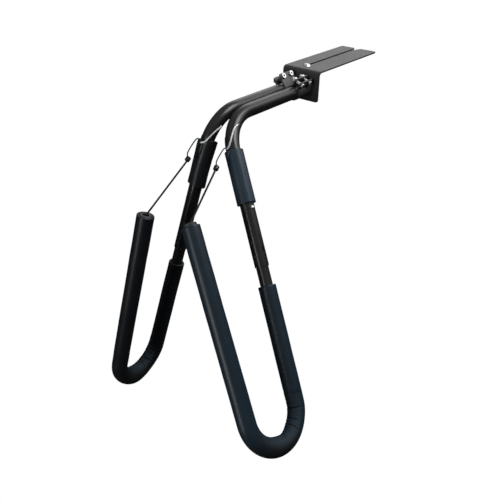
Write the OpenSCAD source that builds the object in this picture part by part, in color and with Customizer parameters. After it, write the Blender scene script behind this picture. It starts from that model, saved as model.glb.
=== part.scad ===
// Moped surfboard rack: a bracket plate, two clamped arms and two padded J hooks.
// Millimetres, Z up. X = 0 is the middle of the plate, Z = 0 is the underside of its top,
// Y = 0 is the axis of the plate bolt, and the arms reach out along -Y.

/* [Plate] */
// Width of the plate
plate_w = 91; // [80:1:120]
// Length of the top from the flange's face to its far edge
plate_l = 230; // [180:1:260]
// Thickness of the sheet
plate_t = 3; // [2:0.5:4]
// Height of the flange from the top of the plate to its lower edge
flange_h = 62; // [60:1:80]
// Outer radius of the bend between the top and the flange
plate_bend_r = 9; // [5:0.5:12]
// Radius of the plate's corners
plate_corner_r = 5; // [2:0.5:12]
// Width of the long slot
slot_w = 6.6; // [6.4:0.1:9]
// How far the slot lies left of the middle
slot_shift = 6; // [0:0.5:12]
// Distance from the flange's face to the plate bolt in the slot's closed end
bolt_y = 29; // [24:0.5:60]
// How far the slot's mouth widens on the left
mouth_left = 2.5; // [1:0.5:10]
// How far it widens on the right
mouth_right = 8; // [2:0.5:14]
// Length of the mouth's short chamfer on the left
mouth_short = 6; // [3:0.5:20]
// Length of its long flare on the right
mouth_long = 22; // [10:1:60]

/* [Plate bolt] */
// Thread diameter of the plate bolt
bolt_d = 6; // [5:0.5:6]
// Diameter of its domed head
bolt_head_d = 16; // [11:0.5:18]
// Height of its domed head
bolt_head_h = 4; // [2.5:0.1:5]
// Room for the carrier between the plate and the washer
carrier_room = 12; // [4:0.5:25]
// Diameter of the washer
washer_d = 20; // [14:0.5:26]
// Thickness of the washer
washer_t = 1.6; // [1:0.1:2.5]
// Length of bolt that stands out below its nut
bolt_tail = 4; // [1:0.5:12]

/* [Clamps] */
// Distance between the two horizontal tubes
tube_pitch = 31; // [31:0.5:40]
// Depth of the tubes' axes below the underside of the plate
axis_drop = 33; // [32.5:0.5:36]
// Thickness of the strap
strap_t = 2.4; // [2:0.1:2.5]
// Length of the collar along the tube
collar_l = 47; // [44:1:70]
// Length of the ears along the tube
ear_l = 42; // [38:1:60]
// Height of the ears above the tube's axis
ear_h = 28; // [27:0.5:31]
// Gap between the two ears of the right clamp
ear_gap = 10.8; // [8:0.2:11]
// Gap between the two ears of the left clamp, whose right ear runs straight up from its collar
ear_gap_left = 14; // [12:0.2:15]
// Radius of the outside bend between a collar and its ears
ear_fillet = 2; // [1:0.1:2.5]
// Radius of the ears' corners
ear_corner_r = 3; // [1:0.5:5]
// Lean of the right ears, toward the right
lean_right = 25; // [0:1:35]
// Lean of the left ears, toward the left
lean_left = 36; // [0:1:40]
// Leg of the weld bead round each collar
weld_leg = 3; // [1:0.5:4]
// Clearance between an arm tube and its collar, on the radius
collar_clear = 0.05; // [0.02:0.01:0.1]

/* [Clamp screws] */
// Thread diameter of the clamp screws
screw_d = 6; // [4:0.5:6]
// Length of the clamp screws under the head
screw_l = 25; // [22:1:35]
// Distance between the two screws of a clamp
screw_pitch = 25; // [20:0.5:28]
// Distance from the collar's front edge to the first screw
screw_first = 7.5; // [6:0.5:12]
// Height of the screws above the tube's axis
screw_h = 21.5; // [21:0.5:22.5]
// Diameter of the screw heads
screw_head_d = 10; // [8:0.5:10.5]
// Height of the screw heads
screw_head_h = 4; // [4:0.5:7]
// Width of the hexagon socket in a screw head
socket_af = 5; // [3:0.5:5.5]
// Depth of the hexagon socket
socket_depth = 3; // [2:0.5:3.5]
// Width of a nut across its flats
nut_af = 10; // [8:0.5:10.5]
// Height of a nut
nut_h = 5; // [4:0.5:6]

/* [Arms] */
// Outer diameter of the arm tubes
tube_d = 25.4; // [24:0.1:25.4]
// Wall of the arm tubes and the hook tubes
tube_wall = 1.5; // [1.2:0.1:2]
// Distance from the flange's face to the start of the bend
arm_reach = 185; // [120:1:260]
// Radius of the arm's bend at the middle of the tube
arm_bend_r = 83.5; // [60:0.5:110]
// Angle of the arm's bend
arm_bend = 72.5; // [65:0.5:85]
// Straight length of the arm after its bend
arm_l = 209.5; // [200:0.5:300]
// Swing of the right arm out from straight down, toward the right
splay_right = 36.5; // [20:0.5:60]
// Swing of the left arm out from straight down, toward the left
splay_left = 6; // [5:0.5:60]
// Distance from the arm's bend to its first snap hole
hole_first = 105.5; // [103:0.5:110]
// Distance between the two snap holes
hole_pitch = 76.2; // [60:0.1:80]

/* [Hooks] */
// Radial clearance of a hook tube inside its arm
slide_clear = 0.08; // [0.04:0.01:0.1]
// Straight length of a hook tube up to the J
hook_l = 371.5; // [340:0.5:420]
// Distance from a hook tube's upper end to its snap button
button_from_end = 30.5; // [28:0.5:34]
// Radius of the J at the middle of the tube
j_r = 55; // [40:0.5:75]
// Angle of the J
j_angle = 177; // [170:0.5:180]
// Length of the J's outer leg
j_up = 326.5; // [200:0.5:360]
// How far the left J stands turned on its tube
j_turn_left = 5; // [0:0.5:8]

/* [Snap buttons] */
// Diameter of the snap button
button_d = 8; // [6:0.5:9]
// How far a button stands out of the arm tube
button_out = 2.8; // [2:0.1:3.5]
// Radial clearance of a button in its holes
button_clear = 0.2; // [0.1:0.05:0.4]
// Diameter of a button's foot inside the hook tube
foot_d = 10; // [9:0.5:11]
// Thickness of a button's foot
foot_t = 1.2; // [1:0.1:1.5]
// Width of the leaf spring behind a button
leaf_w = 7; // [5:0.5:8]
// Thickness of the leaf spring
leaf_t = 0.8; // [0.5:0.1:1]
// Length of the leaf spring below its button
leaf_l = 32; // [24:1:40]

/* [Foam] */
// Thickness of the foam on the arms
arm_foam_t = 3.4; // [2:0.1:4.5]
// Thickness of the foam on the hooks
hook_foam_t = 3.8; // [2:0.1:5]
// Clearance between foam and tube
foam_clear = 0.2; // [0.1:0.05:0.3]
// Length of the right arm's pad
pad_l_right = 97; // [60:1:99]
// How far the right arm's pad reaches up into the bend
pad_up_right = 1; // [0.5:0.5:10]
// Length of the left arm's pad
pad_l_left = 84; // [60:1:99]
// How far the left arm's pad reaches up into the bend
pad_up_left = 12; // [8:0.5:13]
// Bare length of a hook tube between its upper end and its foam
hook_bare = 168.5; // [135:0.5:200]
// How far the right hook's foam runs past the end of its tube, round the cap
foam_past_right = 1; // [0.5:0.5:5]
// How far the left hook's foam runs past the end of its tube, round the cap
foam_past_left = 5.5; // [0.5:0.5:6]

/* [Wear strips] */
// Width of the wear strip on each arm
strip_w = 7; // [4:0.5:10]
// Thickness of the wear strip
strip_t = 0.8; // [0.5:0.1:1.2]
// How far the right strip reaches up into the bend
strip_up_right = 28; // [18:1:34]
// How far the left strip reaches up into the bend
strip_up_left = 21; // [18:1:34]
// Length of a strip that is tucked under its pad
strip_tuck = 10; // [5:1:20]
// How far round from the arm's front a strip lies
strip_turn = -20; // [-35:1:-10]

/* [End caps] */
// Height of the cap's rim above the hook tube
cap_rim_h = 6; // [4:0.5:8]
// Length of the cap's plug inside the hook tube
cap_plug_l = 18; // [10:1:30]
// Diameter of the dished hole in the cap's rim
cap_dish_d = 13; // [11:0.5:15]
// Depth of the dished hole
cap_dish_h = 3; // [2:0.5:3]
// Radial clearance of the plug in its tube
plug_clear = 0.05; // [0.03:0.01:0.1]

/* [Cords and wires] */
// Diameter of the elastic cords
cord_d = 3.4; // [2.5:0.1:3.6]
// Radial clearance of a cord in the cap's hole
cord_clear = 0.3; // [0.2:0.05:0.5]
// Diameter of the knot inside a hook tube
knot_d = 9; // [7:0.5:12]
// Diameter of the formed wire hooks
wire_d = 3.2; // [2:0.1:3.4]
// Radial clearance of a wire in the hole in its arm
wire_clear = 0.4; // [0.2:0.05:0.8]
// Diameter of the bead where a wire hook meets its cord
bead_d = 9.4; // [8.8:0.2:12]
// Length of the bead
bead_l = 9.4; // [9:0.2:12]
// Radius of the bead's rims
bead_round = 2; // [1:0.2:3]

/* [Hidden] */

$fn = 96;
LEFT = -1;
RIGHT = 1;
eps = 0.01;
// Overshoot of a cutter past the face that it opens
past = 1;

// Plate
flange_y = -bolt_y;
slot_x = -slot_shift;
far_y = flange_y + plate_l;

// Tubes: the arm runs in its collar, and the hook tube runs in the arm
tube_r = tube_d / 2;
arm_bore_r = tube_r - tube_wall;
hook_r = arm_bore_r - slide_clear;
hook_bore_r = hook_r - tube_wall;
collar_r = tube_r + collar_clear;
// The arm's inner end stops just short of the flange
tube_stop = 1;
// Hairline between a bend and the straight stretch after it
seam = 0.01;
// Degrees of the arm's bend for each millimetre along it
bend_deg = 180 / PI / arm_bend_r;

// Clamp strap: how far the outer faces of its right and its left ear lie from the tube's axis
strap_r = collar_r + strap_t;
function right_out(side) = side == RIGHT ? ear_gap / 2 + strap_t : strap_r;
function left_out(side) = side == RIGHT ? ear_gap / 2 + strap_t : ear_gap_left + 2 * strap_t - strap_r;
// Height of the outside bend's centre, and its turn round the collar: an ear at the collar's side
// has no bend
function bend_y(out) = out < strap_r ? sqrt(pow(strap_r + ear_fillet, 2) - pow(out + ear_fillet, 2)) : 0;
function bend_a(out) = atan2(bend_y(out), out + ear_fillet);
// Overlap of a strap's parts, so that they join as one
lap = 0.1;
lap_deg = 0.5;
// The weld bead's turn round each collar, and where it starts
weld_sweep = 135;
weld_start_right = -100;
weld_start_left = 145;
screw_hole_r = screw_d / 2 + 0.3;
thread_clear = 0.05;
// Clearance of wire and cord in the bead's sockets
socket_clear = 0.1;

// Hooks, as they are set in the photographed position
hook_start = hole_first - button_from_end;

// Snap buttons: the foot bears on the bore at its sides
foot_top = sqrt(pow(hook_bore_r, 2) - pow(foot_d / 2, 2)) - 0.1;
button_top = tube_r + button_out;
leaf_top = foot_top - foot_t;
leaf_back = sqrt(pow(hook_bore_r, 2) - pow(leaf_w / 2, 2)) - 0.15;
// The leaf runs a little past the button
leaf_over = 5;
// Rounding of the end cap's rim, and the knot's gap to its plug
cap_round = 1.5;
knot_gap = 0.1;

// Foam
arm_foam_r = tube_r + foam_clear + arm_foam_t;
hook_foam_r = hook_r + foam_clear + hook_foam_t;

// Where a wire hook lies on its arm: [distance past the bend, turn round the tube, height over
// its axis]. A negative distance lies back round the bend, and a turn of 90 is the right side.
wire_hole = [-48.5, 90, 0];
wire_laid_right = [
    [-48.5, 90, 9], [-48.5, 90, 11.5], [-47.5, 88, 13.8], [-44, 79, 14.6], [-38, 67, 14.6],
    [-31, 59, 14.6], [-21, 49, 14.6], [-14, 39.5, 14.6], [-9, 29, 14.6], [-6, 20, 14.8], [-4.5, 10, 15.2]
];
wire_laid_left = [
    [-48.5, 90, 9], [-48.5, 90, 11.5], [-47.5, 89, 13.8], [-44, 83, 14.6], [-38, 71, 14.6],
    [-29, 57, 14.6], [-21, 44, 14.6], [-17, 37, 15], [-13.5, 31, 17.2], [-11, 25, 18.4], [-9.6, 14, 18.4]
];
// Where it stands free of the arm, in the frame of the straight stretch: [right, outward, along]
wire_free_right = [
    [0.6, 16.2, -5.4], [0, 18.2, -7], [0, 21, -6], [0, 28, 0], [0, 33.2, 5.2], [0, 39, 11], [0, 43.2, 16],
    [0, 45, 19.5], [0, 46.5, 25.5]
];
wire_free_left = [
    [0.5, 18.6, -9.8], [-0.8, 20, -12], [-0.3, 23.2, -16], [0, 27, -17.6], [0, 31.3, -15.2], [0, 35.5, -9.5],
    [0, 38.5, -4.5], [0, 42.2, 3], [0, 44.5, 10], [0, 42.5, 17.5]
];
// The elastic cords' ends in their beads
cord_end_right = [0, 49, 30];
cord_end_left = [1, 41, 23];
bead_right = [0, 47.7, 28];
bead_left = [0, 40, 21.5];

// Small vector helpers
function unit(v) = v / norm(v);
function upright(v, t) = unit(v - (v * t) * t);

// A point on an arm, in the frame of its straight stretch: X right, Y outward, Z along the tube
function on_arm(p) =
    let (
        b = min(p[0], 0) * bend_deg,
        q = arm_bend_r + p[2] * cos(p[1])
    )
    [p[2] * sin(p[1]), q * cos(b) - arm_bend_r, q * sin(b) + max(p[0], 0)];

// A smooth curve through points, with some steps to each
function between(a, b, c, d, t) =
    0.5 * ((2 * b) + (c - a) * t + (2 * a - 5 * b + 4 * c - d) * t * t + (3 * b - a - 3 * c + d) * t * t * t);
function smooth(p, steps) =
    let (last = len(p) - 1)
    concat(
        [
            for (i = [0:last - 1], k = [0:steps - 1])
                between(p[max(i - 1, 0)], p[i], p[i + 1], p[min(i + 2, last)], k / steps)
        ],
        [p[last]]
    );

// Directions along a path, and a ring direction carried along it without twist
function along(p) =
    let (last = len(p) - 1)
    [for (i = [0:last]) unit(p[min(i + 1, last)] - p[max(i - 1, 0)])];
function carried(t, v, i = 0, done = []) =
    i == len(t) ? done : let (w = upright(v, t[i])) carried(t, w, i + 1, concat(done, [w]));

// A round bar swept along a path
module swept(p, r, sides) {
    t = along(p);
    u = carried(t, [0.3, 1, 0.2]);
    rings = [
        for (i = [0:len(p) - 1], k = [0:sides - 1])
            p[i] + r * (cos(k * 360 / sides) * u[i] + sin(k * 360 / sides) * cross(t[i], u[i]))
    ];
    last = (len(p) - 1) * sides;
    walls = [
        for (i = [0:len(p) - 2], k = [0:sides - 1])
            let (a = i * sides + k, b = i * sides + (k + 1) % sides)
            [a, a + sides, b + sides, b]
    ];
    polyhedron(
        points = rings,
        faces = concat(
            [[for (k = [0:sides - 1]) k]],
            walls,
            [[for (k = [sides - 1:-1:0]) last + k]]
        ),
        convexity = 6
    );
}

// Flat ring outline
module ring(r_out, r_in) {
    difference() {
        circle(r = r_out);
        circle(r = r_in);
    }
}

// Straight tube along Z
module pipe(l, r_out, r_in) {
    linear_extrude(height = l) ring(r_out, r_in);
}

// A bend that starts along Z and curves toward -Y, of any outline drawn round the tube's axis
module bend(r, angle) {
    translate([0, -r, 0])
        rotate([90, 0, 90])
            rotate_extrude(angle = angle, $fn = 160)
                translate([r, 0])
                    mirror([1, -1, 0])
                        children();
}

// The same bend drawn back from its end, in the frame of the stretch that follows it
module bend_before(r, angle) {
    translate([0, -r, 0])
        rotate([90, 0, 90])
            rotate_extrude(angle = -angle, $fn = 160)
                translate([r, 0])
                    mirror([1, -1, 0])
                        children();
}

// A straight stretch that meets the bend before it with a hairline seam
module stretch(from, to) {
    translate([0, 0, from + seam]) linear_extrude(height = to - from - seam) children();
}

// Moves its children to the end of such a bend
module after_bend(r, angle) {
    translate([0, -r, 0])
        rotate([angle, 0, 0])
            translate([0, r, 0])
                children();
}

// An arm's frame: Z along the horizontal tube from the flange's face, Y up
module at_clamp(side) {
    translate([side * tube_pitch / 2, flange_y, -axis_drop])
        rotate([90, 0, 0])
            children();
}

module at_arm(side) {
    splay = side == RIGHT ? splay_right : -splay_left;
    at_clamp(side)
        rotate([0, 0, splay])
            children();
}

// The frame of an arm's straight stretch, in the arm's frame: Z along the tube from the bend's
// end, Y outward
module to_drop() {
    translate([0, 0, arm_reach])
        after_bend(arm_bend_r, arm_bend)
            children();
}

module at_drop(side) {
    at_arm(side) to_drop() children();
}

// The frame of a hook tube, from its upper end: its J curves toward its own -Y
module at_hook(side) {
    at_drop(side)
        translate([0, 0, hook_start])
            rotate([0, 0, side == RIGHT ? 180 : 180 - j_turn_left])
                children();
}

// The frame of a J's open end, in a hook tube's frame
module at_j_end() {
    translate([0, 0, hook_l])
        after_bend(j_r, j_angle)
            translate([0, 0, j_up])
                children();
}

// A tube or sleeve along a hook, in its own frame, to some way beyond the J's open end
module hook_sleeve(from, beyond, r_out, r_in) {
    translate([0, 0, from]) pipe(hook_l - from, r_out, r_in);
    translate([0, 0, hook_l]) {
        bend(j_r, j_angle) ring(r_out, r_in);
        after_bend(j_r, j_angle) stretch(0, j_up + beyond) ring(r_out, r_in);
    }
}

// A sheet outline from Y = 0 up, with its two far corners rounded
module sheet_outline(l, r) {
    half = plate_w / 2;
    translate([-half, 0]) square([plate_w, l - r]);
    translate([-half + r, 0]) square([plate_w - 2 * r, l]);
    for (x = [-half + r, half - r]) translate([x, l - r]) circle(r = r);
}

module top_outline() {
    difference() {
        translate([0, flange_y + plate_bend_r]) sheet_outline(plate_l - plate_bend_r, plate_corner_r);
        translate([slot_x, 0]) circle(d = slot_w);
        translate([slot_x - slot_w / 2, 0]) square([slot_w, far_y + past]);
        translate([slot_x, far_y]) polygon([
            [-slot_w / 2, -mouth_short],
            [-slot_w / 2 - mouth_left, 0],
            [-slot_w / 2 - mouth_left, past],
            [slot_w / 2 + mouth_right, past],
            [slot_w / 2 + mouth_right, 0],
            [slot_w / 2, -mouth_long]
        ]);
    }
}

module mounting_plate() {
    bend_z = plate_t - plate_bend_r;
    color([0.36, 0.37, 0.38]) {
        linear_extrude(height = plate_t) top_outline();
        translate([0, flange_y, bend_z])
            rotate([-90, 0, 0])
                linear_extrude(height = plate_t)
                    sheet_outline(flange_h - plate_bend_r, plate_corner_r);
        translate([-plate_w / 2, flange_y + plate_bend_r, bend_z])
            rotate([90, 0, 90])
                linear_extrude(height = plate_w)
                    intersection() {
                        ring(plate_bend_r, plate_bend_r - plate_t);
                        translate([-plate_bend_r, 0]) square(plate_bend_r);
                    }
    }
}

// Plate bolt: a domed head on the plate, with the carrier between plate and washer
bolt_reach = plate_t + carrier_room + washer_t + nut_h + bolt_tail;
washer_z = -carrier_room - washer_t;

module plate_bolt() {
    color([0.72, 0.72, 0.7])
        translate([slot_x, 0, plate_t]) {
            dome(bolt_head_d, bolt_head_h);
            translate([0, 0, -bolt_reach]) cylinder(d = bolt_d, h = bolt_reach + bolt_head_h / 2);
        }
}

// A low dome that stands on Z = 0
module dome(d, h) {
    r = (pow(d / 2, 2) + pow(h, 2)) / (2 * h);
    intersection() {
        translate([0, 0, h - r]) sphere(r = r);
        cylinder(d = d + 2, h = h + past);
    }
}

module plate_washer() {
    color([0.72, 0.72, 0.7])
        translate([slot_x, 0, washer_z])
            pipe(washer_t, washer_d / 2, bolt_d / 2 + thread_clear);
}

module plate_nut() {
    color([0.72, 0.72, 0.7])
        translate([slot_x, 0, washer_z - nut_h])
            nut(bolt_d);
}

// Hexagon nut that stands on Z = 0
module nut(thread_d) {
    linear_extrude(height = nut_h)
        difference() {
            circle(d = nut_af / cos(30), $fn = 6);
            circle(d = thread_d + 2 * thread_clear);
        }
}

// Clamp strap, in the frame of the tube: a collar, open at the top between its two ears
module collar_outline(side) {
    reach = 3 * strap_r;
    right = bend_a(right_out(side)) + lap_deg;
    left = 180 - bend_a(left_out(side)) - lap_deg;
    difference() {
        ring(strap_r, collar_r);
        polygon([
            [0, 0],
            [reach * cos(right), reach * sin(right)],
            [reach * cos(left), reach * sin(left)]
        ]);
    }
}

// The strap's outside bend and the ear above it, on the right
module ear_outline(out) {
    reach = 3 * ear_fillet + 3 * strap_t;
    y = bend_y(out);
    if (y > 0)
        translate([out + ear_fillet, y])
            intersection() {
                ring(ear_fillet + strap_t, ear_fillet);
                polygon([[0, 0], [-reach, 0], [-reach * cos(bend_a(out)), -reach * sin(bend_a(out))]]);
            }
    translate([out - strap_t, y - lap]) square([strap_t, ear_h - y + lap]);
}

// Moves its children to the left ear's outer face, with Z through to the right ear and out of it
module across_ears(side) {
    translate([-left_out(side) - past, 0, 0]) rotate([0, 90, 0]) children();
}

// Cuts the ears' two top corners round, straight across both ears
module ear_corners(side) {
    r = ear_corner_r;
    for (s = [collar_l - ear_l, collar_l])
        let (inner = s == collar_l ? s - r : s + r)
        translate([0, ear_h - r, inner])
            across_ears(side)
                linear_extrude(height = left_out(side) + right_out(side) + 2 * past)
                    difference() {
                        translate([s == collar_l ? -r - past : 0, 0]) square(r + past);
                        circle(r = r);
                    }
}

// Places of the two screws along the tube, from the flange's face
function screw_places() = [collar_l - screw_first, collar_l - screw_first - screw_pitch];

function lean(side) = side == RIGHT ? -lean_right : lean_left;

module clamp(side) {
    color([0.3, 0.31, 0.32])
        at_clamp(side) {
            rotate([0, 0, lean(side)])
                difference() {
                    union() {
                        linear_extrude(height = collar_l - ear_l) collar_outline(side);
                        translate([0, 0, collar_l - ear_l])
                            linear_extrude(height = ear_l) {
                                collar_outline(side);
                                ear_outline(right_out(side));
                                mirror([1, 0]) ear_outline(left_out(side));
                            }
                    }
                    ear_corners(side);
                    for (s = screw_places())
                        translate([0, screw_h, s])
                            across_ears(side)
                                cylinder(r = screw_hole_r, h = left_out(side) + right_out(side) + 2 * past);
                }
            rotate([0, 0, side == RIGHT ? weld_start_right : weld_start_left])
                rotate_extrude(angle = weld_sweep)
                    translate([strap_r - eps, 0])
                        polygon([[0, 0], [weld_leg, 0], [0, weld_leg]]);
        }
}

// The frame of each clamp screw: Z toward the nut, from the outer face of the right-hand ear
module at_screws(side) {
    at_clamp(side)
        rotate([0, 0, lean(side)])
            for (s = screw_places())
                translate([right_out(side), screw_h, s])
                    rotate([0, -90, 0])
                        children();
}

module clamp_screws(side) {
    color([0.75, 0.75, 0.73])
        at_screws(side)
            difference() {
                union() {
                    translate([0, 0, -screw_head_h]) cylinder(d = screw_head_d, h = screw_head_h);
                    cylinder(d = screw_d, h = screw_l);
                }
                translate([0, 0, -screw_head_h - past])
                    cylinder(d = socket_af / cos(30), h = socket_depth + past, $fn = 6);
            }
}

module clamp_nuts(side) {
    color([0.7, 0.7, 0.68])
        at_screws(side)
            translate([0, 0, right_out(side) + left_out(side)])
                nut(screw_d);
}

// Arms
module arm_tube(side) {
    color([0.16, 0.16, 0.17])
        at_arm(side)
            difference() {
                union() {
                    translate([0, 0, tube_stop]) pipe(arm_reach - tube_stop, tube_r, arm_bore_r);
                    translate([0, 0, arm_reach]) {
                        bend(arm_bend_r, arm_bend) ring(tube_r, arm_bore_r);
                        after_bend(arm_bend_r, arm_bend) stretch(0, arm_l) ring(tube_r, arm_bore_r);
                    }
                }
                to_drop() {
                    for (s = [hole_first, hole_first + hole_pitch]) snap_hole(side, s);
                    // The wire hook's hole, in the right side of the bend
                    translate(on_arm(wire_hole))
                        rotate([0, 90, 0])
                            cylinder(r = wire_d / 2 + wire_clear, h = tube_r + past);
                }
            }
}

// A hole through one wall for a snap button: right on the right arm, left on the left
module snap_hole(side, s) {
    translate([0, 0, s])
        rotate([0, side * 90, 0])
            cylinder(r = button_d / 2 + button_clear, h = tube_r + past);
}

function pad_up(side) = side == RIGHT ? pad_up_right : pad_up_left;
function pad_l(side) = side == RIGHT ? pad_l_right : pad_l_left;

// A run along an arm from some way back in its bend, in the frame of the straight stretch
module arm_run(back, to) {
    bend_before(arm_bend_r, back * bend_deg) children();
    if (to > 0) linear_extrude(height = to) children();
}

module arm_pad(side) {
    color([0.15, 0.19, 0.24])
        at_drop(side)
            difference() {
                arm_run(pad_up(side), pad_l(side) - pad_up(side)) ring(arm_foam_r, tube_r + foam_clear);
                strip_form(side, 0.1);
            }
}

// Wear strip: a thin band of the tube's own curve, on the arm's front and under its pad
module strip_outline(spare) {
    r = tube_r + foam_clear / 2;
    reach = 3 * r;
    half = (strip_w / 2 + spare) / r * 180 / PI;
    intersection() {
        ring(r + strip_t + spare, r - foam_clear * sign(spare));
        rotate(90 - strip_turn) polygon([[0, 0], [reach, -reach * tan(half)], [reach, reach * tan(half)]]);
    }
}

module strip_form(side, spare) {
    back = side == RIGHT ? strip_up_right : strip_up_left;
    to = strip_tuck - pad_up(side) + spare;
    intersection() {
        arm_run(back, max(to, 0)) strip_outline(spare);
        // A strip that ends inside the bend is cut square to it
        translate([-tube_r, 0, -back - past]) cube([tube_d, 2 * tube_r, back + past + to]);
    }
}

module wear_strip(side) {
    color([0.1, 0.14, 0.2]) at_drop(side) strip_form(side, 0);
}

// Formed wire hook, from its hole in the arm to the bead
function wire_points(side) =
    concat(
        [for (p = side == RIGHT ? wire_laid_right : wire_laid_left) on_arm(p)],
        side == RIGHT ? wire_free_right : wire_free_left
    );

module wire_hook(side) {
    color([0.85, 0.86, 0.87])
        at_drop(side) swept(smooth(wire_points(side), 3), wire_d / 2, 10);
}

// A point given in the frame of a J's open end, in the frame of its arm's straight stretch
function from_j_end(side, p) =
    let (
        y = p[1] + j_r,
        z = p[2] + j_up,
        q = [
            p[0],
            y * cos(j_angle) - z * sin(j_angle) - j_r,
            y * sin(j_angle) + z * cos(j_angle) + hook_l + hook_start
        ],
        w = side == RIGHT ? 180 : 180 - j_turn_left
    )
    [q[0] * cos(w) - q[1] * sin(w), q[0] * sin(w) + q[1] * cos(w), q[2]];

// Elastic cord, from the knot inside the hook tube, through the cap's dish and taut to the bead
function cord_points(side) =
    let (
        dish = cap_rim_h - cap_dish_h,
        out = from_j_end(side, [0, -2.4, dish + 3.7]),
        end = side == RIGHT ? cord_end_right : cord_end_left
    )
    concat(
        [
            for (p = [
                [0, 0, -cap_plug_l - knot_gap - knot_d / 2],
                [0, 0, -cap_plug_l * 0.8],
                [0, 0, -cap_plug_l * 0.2],
                [0, 0, dish - 1.2],
                [0, -0.4, dish + 1.1]
            ])
                from_j_end(side, p)
        ],
        [for (f = [0, 0.16, 0.57, 1]) out + f * (end - out)]
    );

module elastic_cord(side) {
    color([0.08, 0.09, 0.11])
        at_drop(side) swept(smooth(cord_points(side), 4), cord_d / 2, 8);
}

// Turns its children so that Z points along a direction
module aimed(v) {
    rotate([0, acos(v[2] / norm(v)), atan2(v[1], v[0])]) children();
}

// Bead: a short barrel on the cord's line, with a socket for the cord and one for the wire
module cord_bead(side) {
    wire = wire_points(side);
    cord = cord_points(side);
    wire_end = wire[len(wire) - 1];
    cord_end = cord[len(cord) - 1];
    color([0.06, 0.08, 0.1])
        at_drop(side)
            difference() {
                translate(side == RIGHT ? bead_right : bead_left)
                    aimed(cord[len(cord) - 2] - cord_end)
                        barrel(bead_d, bead_l, bead_round);
                translate(cord_end)
                    aimed(cord[len(cord) - 2] - cord_end)
                        cylinder(r = cord_d / 2 + socket_clear, h = bead_l);
                translate(wire_end)
                    aimed(wire[len(wire) - 2] - wire_end)
                        cylinder(r = wire_d / 2 + socket_clear, h = bead_l);
            }
}

// A barrel with rounded rims, round its own centre
module barrel(d, l, r) {
    rotate_extrude()
        intersection() {
            union() {
                translate([0, -l / 2 + r]) square([d / 2, l - 2 * r]);
                translate([0, -l / 2]) square([d / 2 - r, l]);
                for (y = [-l / 2 + r, l / 2 - r]) translate([d / 2 - r, y]) circle(r = r);
            }
            translate([0, -l]) square([d, 2 * l]);
        }
}

// Hooks
module hook_tube(side) {
    color([0.12, 0.12, 0.13])
        at_hook(side)
            difference() {
                hook_sleeve(0, 0, hook_r, hook_bore_r);
                rotate([0, 0, side == RIGHT ? 180 : 180 + j_turn_left]) snap_hole(side, button_from_end);
            }
}

module hook_pad(side) {
    beyond = side == RIGHT ? foam_past_right : foam_past_left;
    color([0.15, 0.19, 0.24])
        at_hook(side) hook_sleeve(hook_bare, beyond, hook_foam_r, hook_r + foam_clear);
}

// End cap: a plug in the hook tube's end, with a dished rim that the cord comes out of
module end_cap(side) {
    color([0.12, 0.15, 0.18])
        at_hook(side) at_j_end()
            difference() {
                union() {
                    translate([0, 0, -cap_plug_l])
                        cylinder(r = hook_bore_r - plug_clear, h = cap_plug_l + eps);
                    cap_rim();
                }
                translate([0, 0, -cap_plug_l - past])
                    cylinder(r = cord_d / 2 + cord_clear, h = cap_plug_l + cap_rim_h + past);
                translate([0, 0, cap_rim_h - cap_dish_h]) cylinder(d = cap_dish_d, h = cap_dish_h + past);
            }
}

module cap_rim() {
    r = cap_round;
    rotate_extrude() {
        square([hook_r, cap_rim_h - r]);
        square([hook_r - r, cap_rim_h]);
        translate([hook_r - r, cap_rim_h - r]) circle(r = r);
    }
}

// Knot: the stop on the cord's end, against the plug's inner end
module cord_knot(side) {
    cord = cord_points(side);
    color([0.1, 0.1, 0.12])
        difference() {
            at_hook(side) at_j_end()
                translate([0, 0, -cap_plug_l - knot_gap - knot_d / 2])
                    sphere(d = knot_d);
            at_drop(side)
                translate(cord[0])
                    aimed(cord[1] - cord[0])
                        cylinder(r = cord_d / 2 + socket_clear, h = knot_d);
        }
}

// Snap buttons, in a frame with X out through the wall and Z along the tube
module at_leaf(side) {
    at_drop(side)
        translate([0, 0, hole_first])
            rotate([0, 0, side == RIGHT ? 0 : 180])
                children();
}

module snap_button(side) {
    dome_h = button_out * 0.7;
    color([0.78, 0.78, 0.76])
        at_leaf(side)
            rotate([0, 90, 0]) {
                translate([0, 0, leaf_top]) cylinder(d = foot_d, h = foot_t);
                translate([0, 0, leaf_top]) cylinder(d = button_d, h = button_top - dome_h - leaf_top);
                translate([0, 0, button_top - dome_h]) dome(button_d, dome_h);
            }
}

// Leaf spring: a U of strip that pushes the button out from the far wall
module button_spring(side) {
    r = (leaf_top + leaf_back) / 2;
    color([0.6, 0.62, 0.64])
        at_leaf(side)
            rotate([90, 0, 0])
                translate([0, 0, -leaf_w / 2])
                    linear_extrude(height = leaf_w) {
                        translate([leaf_top - leaf_t, -leaf_over]) square([leaf_t, leaf_l + leaf_over]);
                        translate([-leaf_back, 0]) square([leaf_t, leaf_l]);
                        translate([leaf_top - r, leaf_l])
                            intersection() {
                                ring(r, r - leaf_t);
                                translate([-r, 0]) square([2 * r, r]);
                            }
                    }
}

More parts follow.
